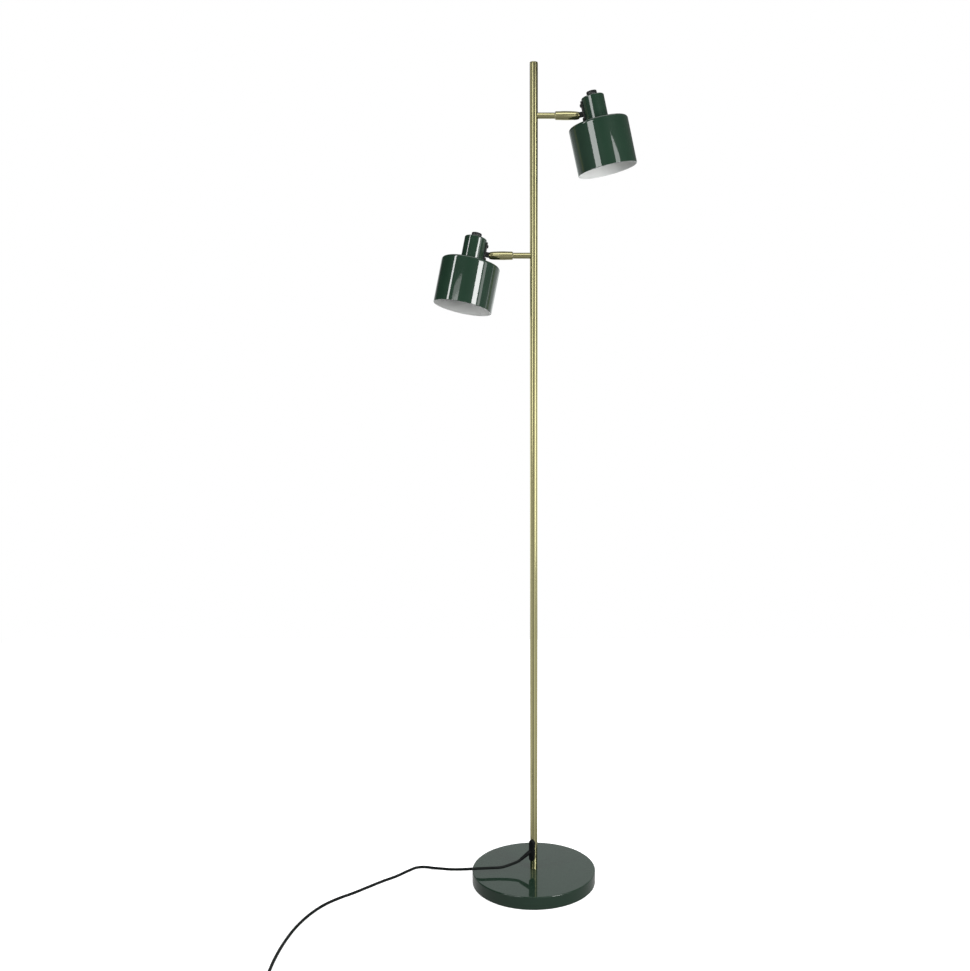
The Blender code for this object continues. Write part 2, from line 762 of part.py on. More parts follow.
def even_points(curve, step):
    """Points along a polyline at even spacing, both ends kept."""
    lengths = [(b - a).length for a, b in zip(curve, curve[1:])]
    count = round(sum(lengths) / step)
    spacing = sum(lengths) / count
    points, travelled, index = [curve[0]], 0.0, 0
    for i in range(1, count):
        target = i * spacing
        while travelled + lengths[index] < target:
            travelled += lengths[index]
            index += 1
        share = (target - travelled) / lengths[index]
        points.append(curve[index].lerp(curve[index + 1], share))
    points.append(curve[-1])
    return points


def build_cord():
    aim = RELIEF_AIM.normalized()
    start = RELIEF_START + aim * (RELIEF_LENGTH + GAP)
    straight = 0.004
    route = smooth_route([start, start + aim * straight, *CORD_ROUTE])
    points = [start, *even_points([p for p in route if (p - start).length > straight], CORD_STEP)]
    for point in points:
        point.z = max(point.z, CORD_RADIUS)
    curve = bpy.data.curves.new("power_cord", "CURVE")
    curve.dimensions = "3D"
    curve.bevel_depth = CORD_RADIUS
    curve.bevel_resolution = 2
    curve.use_fill_caps = True
    spline = curve.splines.new("POLY")
    spline.points.add(len(points) - 1)
    for point, position in zip(spline.points, points):
        point.co = (*position, 1.0)
    curve.materials.append(finish("black_rubber"))
    cord = bpy.data.objects.new("power_cord", curve)
    bpy.context.collection.objects.link(cord)

    middle = shift(COIL_CENTRE.x, COIL_CENTRE.y)
    low, high, corner = COIL_LIFT, COIL_LIFT + COIL_HEIGHT, 0.0022
    inner = COIL_MIDDLE_RADIUS - COIL_HALF_WIDTH
    outer = COIL_MIDDLE_RADIUS + COIL_HALF_WIDTH
    ring = arc(outer - corner, low + corner, corner, -90, 0, 1)
    ring += arc(outer - corner, high - corner, corner, 0, 90, 1)
    ring += arc(inner + corner, high - corner, corner, 90, 180, 1)
    ring += arc(inner + corner, low + corner, corner, 180, 270, 1)
    lathe("cord_coil", ring, 36, "black_rubber", matrix=middle)

    half_width, band = 0.0045, 0.0008
    tie = []
    for margin in (GAP, GAP + band):
        x0, x1 = inner - margin - 0.0004, outer + margin
        z0, z1 = low - margin, high + margin
        tie.append([(x0, z0), (x1, z0), (x1, z1), (x0, z1)])
    bm = bmesh.new()
    loops = [
        [bm.verts.new((x, y, z)) for x, z in loop]
        for y in (-half_width, half_width)
        for loop in tie
    ]
    near_in, near_out, far_in, far_out = loops
    for k in range(4):
        n = (k + 1) % 4
        bm.faces.new((near_in[k], near_out[k], near_out[n], near_in[n]))
        bm.faces.new((far_in[n], far_out[n], far_out[k], far_in[k]))
        bm.faces.new((near_out[k], far_out[k], far_out[n], near_out[n]))
        bm.faces.new((near_in[n], far_in[n], far_in[k], near_in[k]))
    turn = Matrix.Rotation(math.radians(60), 4, "Z")
    place("cord_tie", mesh_from(bm, "cord_tie"), "black_plastic", matrix=middle @ turn)


def rounded_section(x, half_width, half_thick, sides=16, power=3.0):
    """A rounded rectangle across the plug."""
    points = []
    for k in range(sides):
        a = 2 * math.pi * (k + 0.5) / sides
        c, s = math.cos(a), math.sin(a)
        y = half_width * math.copysign(abs(c) ** (2 / power), c)
        z = half_thick * math.copysign(abs(s) ** (2 / power), s)
        points.append((x, y, z))
    return points


def build_plug():
    spot = Matrix.Translation(PLUG_START)
    length, wide, thick = PLUG_LENGTH, PLUG_HALF_WIDTH, PLUG_HALF_THICK
    sections = [
        rounded_section(0.0, 0.0034, 0.0034, power=2.0),
        rounded_section(0.012, 0.0040, 0.0040, power=2.0),
        rounded_section(0.021, 0.0056, 0.0052, power=2.2),
        rounded_section(0.027, 0.0105, thick - 0.0006),
        rounded_section(0.038, wide - 0.0035, thick),
        rounded_section(length - 0.0012, wide, thick, power=4.0),
        rounded_section(length, wide - 0.0012, thick - 0.0012, power=4.0),
    ]
    loft("plug_body", sections, "black_rubber", matrix=spot)
    base = length + GAP
    for side, sign in (("left", 1), ("right", -1)):
        pin = [
            (0, base),
            (PIN_RADIUS, base),
            (PIN_RADIUS, base + PIN_LENGTH - 0.001),
            (0.0012, base + PIN_LENGTH),
            (0, base + PIN_LENGTH),
        ]
        across = shift(y=sign * PIN_SPACING / 2)
        lathe(f"plug_pin_{side}", pin, 12, "zinc_steel", matrix=spot @ across, axis="X")


def main():
    for obj in list(bpy.data.objects):
        bpy.data.objects.remove(obj, do_unlink=True)
    build_base()
    build_pole()
    build_heads()
    build_gland()
    build_cord()
    build_plug()


main()
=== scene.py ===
"""Looks of the adjustable arm floor lamp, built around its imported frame.

Metres, +Z up, -Y is the lamp's front. Turned pieces are built along their own local Z axis, which
is also the direction that the drawn and brushed metal's grain follows.
"""

import json
import math

import bmesh
import bpy
import numpy as np
from mathutils import Matrix, Vector

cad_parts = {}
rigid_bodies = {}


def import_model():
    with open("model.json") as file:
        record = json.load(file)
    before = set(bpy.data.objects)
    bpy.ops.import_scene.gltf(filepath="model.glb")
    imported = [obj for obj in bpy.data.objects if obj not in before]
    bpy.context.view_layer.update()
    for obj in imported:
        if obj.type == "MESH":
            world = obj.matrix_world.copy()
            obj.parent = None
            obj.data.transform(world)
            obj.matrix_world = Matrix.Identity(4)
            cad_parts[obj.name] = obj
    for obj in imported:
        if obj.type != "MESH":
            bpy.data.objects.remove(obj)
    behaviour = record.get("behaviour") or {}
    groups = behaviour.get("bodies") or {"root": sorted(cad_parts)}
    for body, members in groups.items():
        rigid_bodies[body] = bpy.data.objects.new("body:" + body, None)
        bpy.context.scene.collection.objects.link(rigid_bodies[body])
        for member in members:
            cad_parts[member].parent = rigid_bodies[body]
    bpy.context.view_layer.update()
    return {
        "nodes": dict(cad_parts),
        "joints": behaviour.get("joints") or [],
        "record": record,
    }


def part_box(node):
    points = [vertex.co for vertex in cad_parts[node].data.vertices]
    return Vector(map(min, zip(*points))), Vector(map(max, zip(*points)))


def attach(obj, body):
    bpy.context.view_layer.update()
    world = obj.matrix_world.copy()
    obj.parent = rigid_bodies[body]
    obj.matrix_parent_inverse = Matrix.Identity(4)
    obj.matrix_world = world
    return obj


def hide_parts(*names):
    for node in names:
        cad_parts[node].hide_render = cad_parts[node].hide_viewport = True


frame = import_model()

GAP = 0.0003                 # air between neighbouring pieces, as in the frame
POLE_WALL = 0.0012           # wall of the pole's tube
ARM_WALL = 0.0008            # wall of the arms' sleeves
PIVOT_HOLE = 0.0018          # radius of the hole for the tilt pin
PIVOT_HEAD = 0.0027          # radius of the tilt pin's head and nut
PIVOT_SHANK = 0.0015         # radius of the tilt pin itself
SCREW_HOLE = 0.0017          # radius of the holes for the strap's screws
STRAP_SCREWS = {"top": 0.0140, "bottom": -0.0090}   # heights above the tilt pin
HEADS = ("upper", "lower")
JOINTS = {joint["name"]: joint for joint in frame["joints"]}


# ---------------------------------------------------------------- camera
def add_camera():
    data = bpy.data.cameras.new("camera")
    data.sensor_fit = "HORIZONTAL"
    data.sensor_width = 36.0
    data.lens = 40.32
    data.shift_x = -0.0503
    data.shift_y = 0.0768
    camera = bpy.data.objects.new("camera", data)
    camera.location = (0.0, -1.978, 0.9735)
    camera.rotation_euler = (math.radians(80.256), 0.0, 0.0)
    bpy.context.collection.objects.link(camera)
    bpy.context.scene.camera = camera


add_camera()


# ---------------------------------------------------------------- materials
def shader_of(material):
    return material.node_tree.nodes["Principled BSDF"]


def material(name, colour, roughness, metallic=0.0, extra=()):
    made = bpy.data.materials.new(name)
    made.use_nodes = True
    shader = shader_of(made)
    shader.inputs["Base Color"].default_value = (*colour, 1.0)
    shader.inputs["Roughness"].default_value = roughness
    shader.inputs["Metallic"].default_value = metallic
    for socket, value in dict(extra).items():
        shader.inputs[socket].default_value = value
    return made


def noise(made, scale, stretch=(1, 1, 1), detail=3.0):
    """Noise in the piece's own space: scale is in cycles a metre, stretch along its axes."""
    tree = made.node_tree
    coordinates = tree.nodes.new("ShaderNodeTexCoord")
    mapping = tree.nodes.new("ShaderNodeMapping")
    mapping.inputs["Scale"].default_value = [scale * s for s in stretch]
    texture = tree.nodes.new("ShaderNodeTexNoise")
    texture.inputs["Scale"].default_value = 1.0
    texture.inputs["Detail"].default_value = detail
    tree.links.new(coordinates.outputs["Object"], mapping.inputs["Vector"])
    tree.links.new(mapping.outputs["Vector"], texture.inputs["Vector"])
    return texture.outputs["Fac"]


def vary_colour(made, factor, low, high, spread=0.25):
    """Colour runs from low to high as the noise goes from its lower to its upper values."""
    ramp = made.node_tree.nodes.new("ShaderNodeValToRGB")
    ramp.color_ramp.elements[0].position = 0.5 - spread
    ramp.color_ramp.elements[0].color = (*low, 1.0)
    ramp.color_ramp.elements[1].position = 0.5 + spread
    ramp.color_ramp.elements[1].color = (*high, 1.0)
    made.node_tree.links.new(factor, ramp.inputs["Fac"])
    made.node_tree.links.new(ramp.outputs["Color"], shader_of(made).inputs["Base Color"])


def vary_roughness(made, factor, low, high, spread=0.25):
    ranged = made.node_tree.nodes.new("ShaderNodeMapRange")
    ranged.inputs["From Min"].default_value = 0.5 - spread
    ranged.inputs["From Max"].default_value = 0.5 + spread
    ranged.inputs["To Min"].default_value = low
    ranged.inputs["To Max"].default_value = high
    made.node_tree.links.new(factor, ranged.inputs["Value"])
    made.node_tree.links.new(ranged.outputs["Result"], shader_of(made).inputs["Roughness"])


def relief(made, factor, height, socket="Normal"):
    """Bump whose full swing is height metres. A second call stacks on the first."""
    tree = made.node_tree
    shader = shader_of(made)
    bump = tree.nodes.new("ShaderNodeBump")
    bump.inputs["Distance"].default_value = height
    bump.inputs["Strength"].default_value = 1.0
    tree.links.new(factor, bump.inputs["Height"])
    if shader.inputs[socket].links:
        below = shader.inputs[socket].links[0].from_socket
        tree.links.new(below, bump.inputs["Normal"])
    tree.links.new(bump.outputs["Normal"], shader.inputs[socket])


def lacquer(name, dark, light, coat_roughness):
    """Sprayed gloss lacquer: a soft body colour under a clear coat with faint orange peel."""
    made = material(name, dark, 0.38, extra={
        "Specular IOR Level": 0.05,
        "Coat Weight": 1.0,
        "Coat Roughness": coat_roughness,
        "Coat IOR": 1.5,
    })
    vary_colour(made, noise(made, 26, detail=5.0), dark, light)
    vary_roughness(made, noise(made, 900), 0.34, 0.46)
    peel = noise(made, 420, detail=2.0)
    relief(made, peel, 0.000012)
    relief(made, peel, 0.000010, socket="Coat Normal")
    return made


def drawn_metal(name, dark, light, rough, grain=(900, 900, 14)):
    """Drawn and brushed metal: hairlines along local Z, broken by faint handling marks."""
    made = material(name, light, rough, metallic=1.0)
    hairlines = noise(made, 1.0, grain)
    vary_colour(made, noise(made, 38, (1, 1, 0.35), detail=6.0), dark, light)
    vary_roughness(made, hairlines, rough - 0.03, rough + 0.03, 0.18)
    relief(made, hairlines, 0.0000004)
    return made


def moulded(name, dark, light, rough, gloss, texture_scale=2400, depth=0.00003):
    """Moulded plastic or rubber with a fine spark-eroded texture."""
    made = material(name, dark, rough, extra={"Specular IOR Level": gloss})
    vary_colour(made, noise(made, 140, detail=5.0), dark, light)
    vary_roughness(made, noise(made, 500, detail=4.0), rough - 0.06, rough + 0.08)
    relief(made, noise(made, texture_scale, detail=2.0), depth)
    return made


def enamel(name):
    """White stove enamel inside the shades, coloured a light grey darker than white enamel: painted shade
    for the shades' insides.
    """
    # Base colour held at a light grey rather than white: painted shade of the shades' insides.
    made = material(name, (0.56, 0.57, 0.56), 0.34, extra={"Coat Weight": 0.25, "Coat Roughness": 0.15})
    vary_colour(made, noise(made, 30, detail=5.0), (0.54, 0.55, 0.54), (0.59, 0.60, 0.59))
    vary_roughness(made, noise(made, 600), 0.30, 0.40)
    relief(made, noise(made, 380, detail=2.0), 0.000014)
    return made


def opal(name):
    """Opal glass: white flashed glass with a smooth skin."""
    made = material(name, (0.86, 0.86, 0.84), 0.22, extra={
        "Subsurface Weight": 0.35,
        "Subsurface Radius": (0.004, 0.004, 0.004),
        "Coat Weight": 0.6,
        "Coat Roughness": 0.04,
    })
    vary_colour(made, noise(made, 60, detail=4.0), (0.84, 0.84, 0.82), (0.89, 0.89, 0.87))
    return made


def casting(name):
    made = material(name, (0.050, 0.050, 0.052), 0.7, metallic=0.7)
    vary_colour(made, noise(made, 200, detail=8.0), (0.03, 0.03, 0.03), (0.075, 0.072, 0.070))
    relief(made, noise(made, 700, detail=6.0), 0.00025)
    return made


LOOKS = {
    "green_lacquer": lacquer("green_lacquer", (0.0080, 0.0240, 0.0135), (0.0098, 0.0285, 0.0165), 0.03),
    "white_enamel": enamel("white_enamel"),
    "satin_brass": drawn_metal("satin_brass", (0.53, 0.50, 0.26), (0.57, 0.54, 0.29), 0.16),
    "zinc_steel": drawn_metal("zinc_steel", (0.48, 0.49, 0.50), (0.60, 0.60, 0.61), 0.32),
    "nickel": drawn_metal("nickel", (0.62, 0.60, 0.56), (0.72, 0.70, 0.66), 0.18),
    "black_steel": moulded("black_steel", (0.009, 0.010, 0.009), (0.014, 0.015, 0.014), 0.36,
                           gloss=0.22, texture_scale=1500, depth=0.000015),
    "black_plastic": moulded("black_plastic", (0.008, 0.009, 0.009), (0.012, 0.013, 0.013), 0.30,
                             gloss=0.25, depth=0.000012),
    "black_rubber": moulded("black_rubber", (0.003, 0.004, 0.004), (0.006, 0.007, 0.007), 0.52,
                            gloss=0.12),
    "lead_sheath": moulded("lead_sheath", (0.003, 0.005, 0.0045), (0.006, 0.008, 0.0075), 0.46,
                           gloss=0.14, depth=0.000015),
    "opal_glass": opal("opal_glass"),
    "cast_iron": casting("cast_iron"),
}


# ---------------------------------------------------------------- shape tools
def filleted(corners, steps=6):
    """Rounds the corners of a closed outline: a corner is (r, h) or (r, h, fillet radius).

    A point just outside each arc keeps the flats beside it flat in shading.
    """
    points = []
    for index, corner in enumerate(corners):
        here = Vector(corner[:2])
        if len(corner) == 2:
            points.append(here)
            continue
        back = (Vector(corners[index - 1][:2]) - here).normalized()
        ahead = (Vector(corners[(index + 1) % len(corners)][:2]) - here).normalized()
        half = back.angle(ahead) / 2
        reach = corner[2] / math.tan(half)
        centre = here + (back + ahead).normalized() * corner[2] / math.sin(half)
        start = here + back * reach - centre
        end = here + ahead * reach - centre
        turn = math.atan2(start.cross(end), start.dot(end))
        points.append(here + back * reach * 1.25)
        points += [centre + Matrix.Rotation(turn * k / steps, 2) @ start for k in range(steps + 1)]
        points.append(here + ahead * reach * 1.25)
    return points


def shaped(bm, name):
    bmesh.ops.recalc_face_normals(bm, faces=bm.faces[:])
    mesh = bpy.data.meshes.new(name)
    bm.to_mesh(mesh)
    bm.free()
    return mesh


def turned(name, outline, sides, wave=None, first=0.0):
    """Turns a closed (radius, height) outline about Z.

    wave(angle, radius, height) gives the radius of a ribbed or notched piece.
    """
    bm = bmesh.new()
    rings = []
    for r, h in outline:
        ring = []
        for k in range(1 if r < 1e-9 else sides):
            angle = first + 2 * math.pi * k / sides
            reach = wave(angle, r, h) if wave else r
            ring.append(bm.verts.new((reach * math.cos(angle), reach * math.sin(angle), h)))
        rings.append(ring)
    for low, high in zip(rings, rings[1:] + rings[:1]):
        if len(low) == 1 and len(high) == 1:
            continue
        for k in range(sides):
            n = (k + 1) % sides
            if len(low) == 1:
                bm.faces.new((low[0], high[n], high[k]))
            elif len(high) == 1:
                bm.faces.new((low[k], low[n], high[0]))
            else:
                bm.faces.new((low[k], low[n], high[n], high[k]))
    return shaped(bm, name)


def skinned(name, sections):
    """Skins loops of equal point counts and closes both ends."""
    bm = bmesh.new()
    loops = [[bm.verts.new(p) for p in section] for section in sections]
    count = len(loops[0])
    for a, b in zip(loops, loops[1:]):
        for k in range(count):
            n = (k + 1) % count
            bm.faces.new((a[k], a[n], b[n], b[k]))
    bm.faces.new(list(reversed(loops[0])))
    bm.faces.new(loops[-1])
    return shaped(bm, name)


def stadium(half_width, low, high, steps=14):
    """Outline of a slot with round ends, long side vertical, as (across, up) pairs."""
    points = []
    for centre, start in ((high - half_width, 0.0), (low + half_width, math.pi)):
        for i in range(steps + 1):
            a = start + math.pi * i / steps
            points.append((half_width * math.cos(a), centre + half_width * math.sin(a)))
    return points


def placed(mesh, matrix):
    obj = bpy.data.objects.new(mesh.name, mesh)
    bpy.context.collection.objects.link(obj)
    obj.matrix_world = matrix
    return obj


def cut(obj, *tools, operation="DIFFERENCE"):
    """Applies Booleans with each (mesh, matrix) in turn and leaves one plain mesh."""
    for mesh, matrix in tools:
        tool = placed(mesh, matrix)
        modifier = obj.modifiers.new("cut", "BOOLEAN")
        modifier.operation = operation
        modifier.solver = "EXACT"
        modifier.object = tool
        bpy.context.view_layer.update()
        graph = bpy.context.evaluated_depsgraph_get()
        result = bpy.data.meshes.new_from_object(obj.evaluated_get(graph))
        obj.modifiers.clear()
        obj.data = result
        bpy.data.objects.remove(tool)


def drill(name, radius, low, high, sides=48):
    return turned(name, [(0, low), (radius, low), (radius, high), (0, high)], sides, first=0.07)


def block(name, low, high):
    (x0, y0, z0), (x1, y1, z1) = low, high
    return skinned(name, [[(x, y0, z0), (x, y1, z0), (x, y1, z1), (x, y0, z1)] for x in (x0, x1)])


def finish_piece(obj, body, look, nodes=(), sharp=32):
    """Gives a piece its look, its body, and the frame's nodes that it stands for."""
    obj.data.materials.clear()
    for name in [look] if isinstance(look, str) else look:
        obj.data.materials.append(LOOKS[name])
    obj.data.shade_smooth()
    obj.data.set_sharp_from_angle(angle=math.radians(sharp))
    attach(obj, body)
    if nodes:
        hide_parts(*nodes)
    return obj


def basis(origin, y, z):
    """Frame at origin with its local Z along z and its local Y along y."""
    z = Vector(z).normalized()
    y = (Vector(y) - z * Vector(y).dot(z)).normalized()
    turn = Matrix((y.cross(z), y, z)).transposed().to_4x4()
    return Matrix.Translation(origin) @ turn


def shift(x=0.0, z=0.0):
    return Matrix.Translation((x, 0.0, z))


def extent(node, matrix):
    """Lowest and highest corner of a frame node in a local frame."""
    inverse = matrix.inverted()
    points = np.array([inverse @ v.co for v in frame["nodes"][node].data.vertices])
    return Vector(points.min(0)), Vector(points.max(0))


ALONG_X = Matrix(((0, 0, 1, 0), (0, 1, 0, 0), (-1, 0, 0, 0), (0, 0, 0, 1)))   # local Z on +X
ALONG_Y = Matrix(((1, 0, 0, 0), (0, 0, 1, 0), (0, -1, 0, 0), (0, 0, 0, 1)))   # local Z on +Y


# ---------------------------------------------------------------- mains lead
CORD_RADIUS = 0.0027
RELIEF_START = Vector((-0.0087, -0.0070, 0.0625))
RELIEF_AIM = Vector((-0.775, -0.190, -0.600)).normalized()
RELIEF_LENGTH = 0.021
GLAND_AZIMUTH = math.radians(27)   # from the front towards -X
CORD_ROUTE = [
    (-0.0430, -0.0160, 0.0425),
    (-0.0620, -0.0215, 0.0388),
    (-0.0840, -0.0235, 0.0382),
    (-0.1040, -0.0250, 0.0380),
    (-0.1220, -0.0220, 0.0355),
    (-0.1430, -0.0090, 0.0285),
    (-0.1640, 0.0100, 0.0195),
    (-0.1840, 0.0320, 0.0105),
    (-0.1990, 0.0460, 0.0050),
    (-0.2150, 0.0550, 0.0027),
    (-0.2325, 0.0530, 0.0027),
    (-0.2480, 0.0390, 0.0027),
    (-0.2690, 0.0150, 0.0027),
    (-0.2940, -0.0070, 0.0027),
    (-0.3180, -0.0310, 0.0027),
    (-0.3420, -0.0550, 0.0027),
    (-0.3650, -0.0750, 0.0027),
    (-0.3880, -0.1010, 0.0027),
    (-0.4080, -0.1380, 0.0027),
    (-0.4230, -0.1840, 0.0027),
    (-0.4320, -0.2360, 0.0027),
    (-0.4360, -0.2900, 0.0027),
    (-0.4360, -0.3350, 0.0027),
    (-0.4360, -0.3740, 0.0036),
]
COIL_CENTRE = Vector((-0.4016, -0.3940, 0.0))
COIL_RADIUS = 0.0290         # middle of the turns
COIL_LIFT = 0.0012           # the tie passes under the coil
PLUG_START = Vector((COIL_CENTRE.x + 0.0216, COIL_CENTRE.y - 0.0344, 0.0069))


def smooth_route(points, per_span):
    """Centripetal Catmull-Rom curve through the points."""
    knots = [Vector(p) for p in points]
    knots = [2 * knots[0] - knots[1], *knots, 2 * knots[-1] - knots[-2]]
    curve = []
    for a, b, c, d in zip(knots, knots[1:], knots[2:], knots[3:]):
        t1 = (b - a).length ** 0.5
        t2 = t1 + (c - b).length ** 0.5
        t3 = t2 + (d - c).length ** 0.5
        for i in range(per_span):
            t = t1 + (t2 - t1) * i / per_span
            ab = a.lerp(b, t / t1)
            bc = b.lerp(c, (t - t1) / (t2 - t1))
            cd = c.lerp(d, (t - t2) / (t3 - t2))
            curve.append(ab.lerp(bc, t / t2).lerp(bc.lerp(cd, (t - t1) / (t3 - t1)),
                                                  (t - t1) / (t2 - t1)))
    curve.append(knots[-2])
    return curve


def coil_turns(per_turn=24):
    """Wound from the outside in on the floor, then back out on top, a diameter apart."""
    pitch = 2 * CORD_RADIUS
    low = COIL_LIFT + CORD_RADIUS
    radii = [COIL_RADIUS + pitch, COIL_RADIUS, COIL_RADIUS - pitch]
    slots = [(r, low) for r in radii] + [(r, low + pitch) for r in reversed(radii)]
    points = []
    for i in range(round(5.25 * per_turn) + 1):
        turn, share = divmod(i / per_turn, 1.0)
        here, after = slots[int(turn)], slots[min(int(turn) + 1, len(slots) - 1)]
        cross = min(1.0, max(0.0, (share - 5 / 6) * 6))
        cross = cross * cross * (3 - 2 * cross)
        r = here[0] + (after[0] - here[0]) * cross
        z = here[1] + (after[1] - here[1]) * cross
        a = math.pi + 2 * math.pi * i / per_turn
        points.append(COIL_CENTRE + Vector((r * math.cos(a), r * math.sin(a), z)))
    return points


def lead_line():
    exit_point = RELIEF_START + RELIEF_AIM * (RELIEF_LENGTH + GAP)
    straight = exit_point + RELIEF_AIM * 0.004
    into_plug = [PLUG_START - Vector((0.0080, 0, -0.0010)), PLUG_START]
    line = smooth_route([exit_point, straight, *CORD_ROUTE, *coil_turns(), *into_plug], 6)
    for point in line:
        point.z = max(point.z, CORD_RADIUS)
    return line


def build_lead():
    line = lead_line()
    curve = bpy.data.curves.new("mains_lead", "CURVE")
    curve.dimensions = "3D"
    curve.bevel_depth = CORD_RADIUS
    curve.bevel_resolution = 5
    curve.use_fill_caps = True
    spline = curve.splines.new("POLY")
    spline.points.add(len(line) - 1)
    for point, position in zip(spline.points, line):
        point.co = (*position, 1.0)
    curve.materials.append(LOOKS["lead_sheath"])
    lead = bpy.data.objects.new("mains_lead", curve)
    bpy.context.collection.objects.link(lead)
    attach(lead, "stand")
    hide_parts("power_cord", "cord_coil")
    return lead, line[0]


def build_relief():
    """Tapered sleeve on the lead, with three shallow flexing grooves."""
    matrix = Matrix.Translation(RELIEF_START) @ RELIEF_AIM.to_track_quat("Z", "Y").to_matrix().to_4x4()
    outline = [(0, -0.0045), (0.0040, -0.0045), (0.0039, 0.0040)]
    for k in range(3):
        h = 0.0060 + 0.0040 * k
        r = 0.0038 - 0.0002 * k
        outline += filleted([(r, h), (r - 0.0004, h + 0.0004, 0.0002),
                             (r - 0.0004, h + 0.0010, 0.0002), (r - 0.0001, h + 0.0014)], 3)
    outline += [(0.0032, 0.0198), (0.0030, 0.0207), (0.0028, RELIEF_LENGTH), (0, RELIEF_LENGTH)]
    sleeve = placed(turned("relief_sleeve", outline, 40), matrix)
    finish_piece(sleeve, "stand", "black_rubber", ["strain_relief"])


def build_tie():
    """A flat strap round the coil's section."""
    matrix = Matrix.Translation(COIL_CENTRE) @ Matrix.Rotation(math.radians(60), 4, "Z")
    half_wide, band, air = 0.0045, 0.0008, 0.0002
    x0, x1 = COIL_RADIUS - 3 * CORD_RADIUS - air, COIL_RADIUS + 3 * CORD_RADIUS + air
    z0, z1 = COIL_LIFT - air, COIL_LIFT + 4 * CORD_RADIUS + air
    inner = filleted([(x0, z0, 0.002), (x1, z0, 0.002), (x1, z1, 0.002), (x0, z1, 0.002)])
    x0, x1, z0, z1 = x0 - band, x1 + band, z0 - band, z1 + band
    outer = filleted([(x0, z0, 0.0028), (x1, z0, 0.0028), (x1, z1, 0.0028), (x0, z1, 0.0028)])
    bm = bmesh.new()
    loops = [[bm.verts.new((x, y, z)) for x, z in loop]
             for y in (-half_wide, half_wide) for loop in (inner, outer)]
    near_in, near_out, far_in, far_out = loops
    for k in range(len(inner)):
        n = (k + 1) % len(inner)
        for a, b in ((near_in, near_out), (near_out, far_out), (far_out, far_in), (far_in, near_in)):
            bm.faces.new((a[k], a[n], b[n], b[k]))
    tie = placed(shaped(bm, "tie_strap"), matrix)
    return finish_piece(tie, "stand", "black_rubber", ["cord_tie"])


def rounded_section(x, half_width, half_thick, power, sides=64):
    """A rounded rectangle across the plug: an ellipse at power 2, squarer above it."""
    points = []
    for k in range(sides):
        a = 2 * math.pi * (k + 0.5) / sides
        c, s = math.cos(a), math.sin(a)
        points.append((x, half_width * math.copysign(abs(c) ** (2 / power), c),
                       half_thick * math.copysign(abs(s) ** (2 / power), s)))
    return points


def build_plug():
    """Flat two-pin plug: ribbed neck, waisted grip and sleeved pins."""
    _, high = extent("plug_body", Matrix.Translation(PLUG_START))
    length, wide, thick = high
    sections = [rounded_section(0.0, 0.0034, 0.0034, 2.0), rounded_section(0.0030, 0.0036, 0.0036, 2.0)]
    for k in range(4):
        x, r = 0.0045 + 0.0040 * k, 0.0037 + 0.00045 * k
        for dx, dr in ((0.0, 0.0), (0.0005, -0.0007), (0.0015, -0.0007), (0.0020, 0.0)):
            sections.append(rounded_section(x + dx, r + dr, r + dr, 2.0))
    shoulder = [(0.0230, 0.0064, 0.0058, 2.2), (0.0265, 0.0098, 0.0063, 2.6),
                (0.0310, 0.0120, 0.0064, 3.0), (0.0360, 0.0131, 0.0064, 3.4),
                (0.0420, 0.0143, 0.0066, 3.8), (0.0480, 0.0162, 0.0068, 4.2)]
    sections += [rounded_section(*row) for row in shoulder]
    sections += [rounded_section(length - 0.0016, wide, thick, 4.6),
                 rounded_section(length - 0.0004, wide - 0.0004, thick - 0.0004, 4.6),
                 rounded_section(length, wide - 0.0014, thick - 0.0014, 4.6)]
    body = placed(skinned("plug_shell", sections), Matrix.Translation(PLUG_START))
    pieces = [finish_piece(body, "stand", "black_rubber", ["plug_body"], sharp=40)]
    for side in ("left", "right"):
        node = f"plug_pin_{side}"
        low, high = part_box(node)
        radius = (high.z - low.z) / 2
        matrix = Matrix.Translation((low.x, (low.y + high.y) / 2, (low.z + high.z) / 2)) @ ALONG_X
        reach = high.x - low.x
        outline = filleted([(0, 0), (radius, 0), (radius, 0.0100, 0.0002), (radius - 0.0002, 0.0101),
                            (radius - 0.0002, reach, 0.0012), (0, reach)])
        pin = placed(turned(f"pin_{side}", outline, 40), matrix)
        finish_piece(pin, "stand", ["nickel", "black_plastic"], [node])
        for face in pin.data.polygons:
            face.material_index = 1 if face.center.z < 0.0100 else 0
        pieces.append(pin)
    return pieces


# ---------------------------------------------------------------- base and pole
def build_base():
    low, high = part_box("base_cover")
    radius, wall = high.x, 0.0015
    hole = 0.0042
    outline = filleted([
        (radius - wall, low.z),
        (radius, low.z, 0.0010),
        (radius, high.z, 0.0016),
        (hole, high.z, 0.0003),
        (hole, high.z - wall),
        (radius - wall, high.z - wall, 0.0010),
    ], 8)
    shell = placed(turned("base_shell", outline, 192), Matrix.Identity(4))
    finish_piece(shell, "stand", "green_lacquer", ["base_cover"])


def build_pole():
    low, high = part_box("pole")
    radius = high.x
    bore = radius - POLE_WALL
    outline = filleted([(bore, low.z), (radius, low.z, 0.0002), (radius, high.z, 0.0002), (bore, high.z)], 3)
    tube = placed(turned("pole_tube", outline, 96), Matrix.Identity(4))
    holes = []
    for name in HEADS:
        arm = arm_frame(name)
        holes.append((drill("arm_hole", 0.0045, 0.0, 0.0090), arm))
    cut(tube, *holes)
    finish_piece(tube, "stand", "satin_brass", ["pole"])

    low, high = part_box("pole_top_cap")
    seat = high.z - 0.0032
    outline = filleted([
        (0, low.z),
        (bore - GAP, low.z, 0.0005),
        (bore - GAP, seat),
        (radius, seat, 0.0002),
        (radius, seat + 0.0016, 0.0008),
        (radius * 0.72, high.z - 0.0005, 0.0060),
        (0, high.z),
    ], 6)
    cap = placed(turned("domed_cap", outline, 96), Matrix.Identity(4))
    finish_piece(cap, "stand", "satin_brass", ["pole_top_cap"])


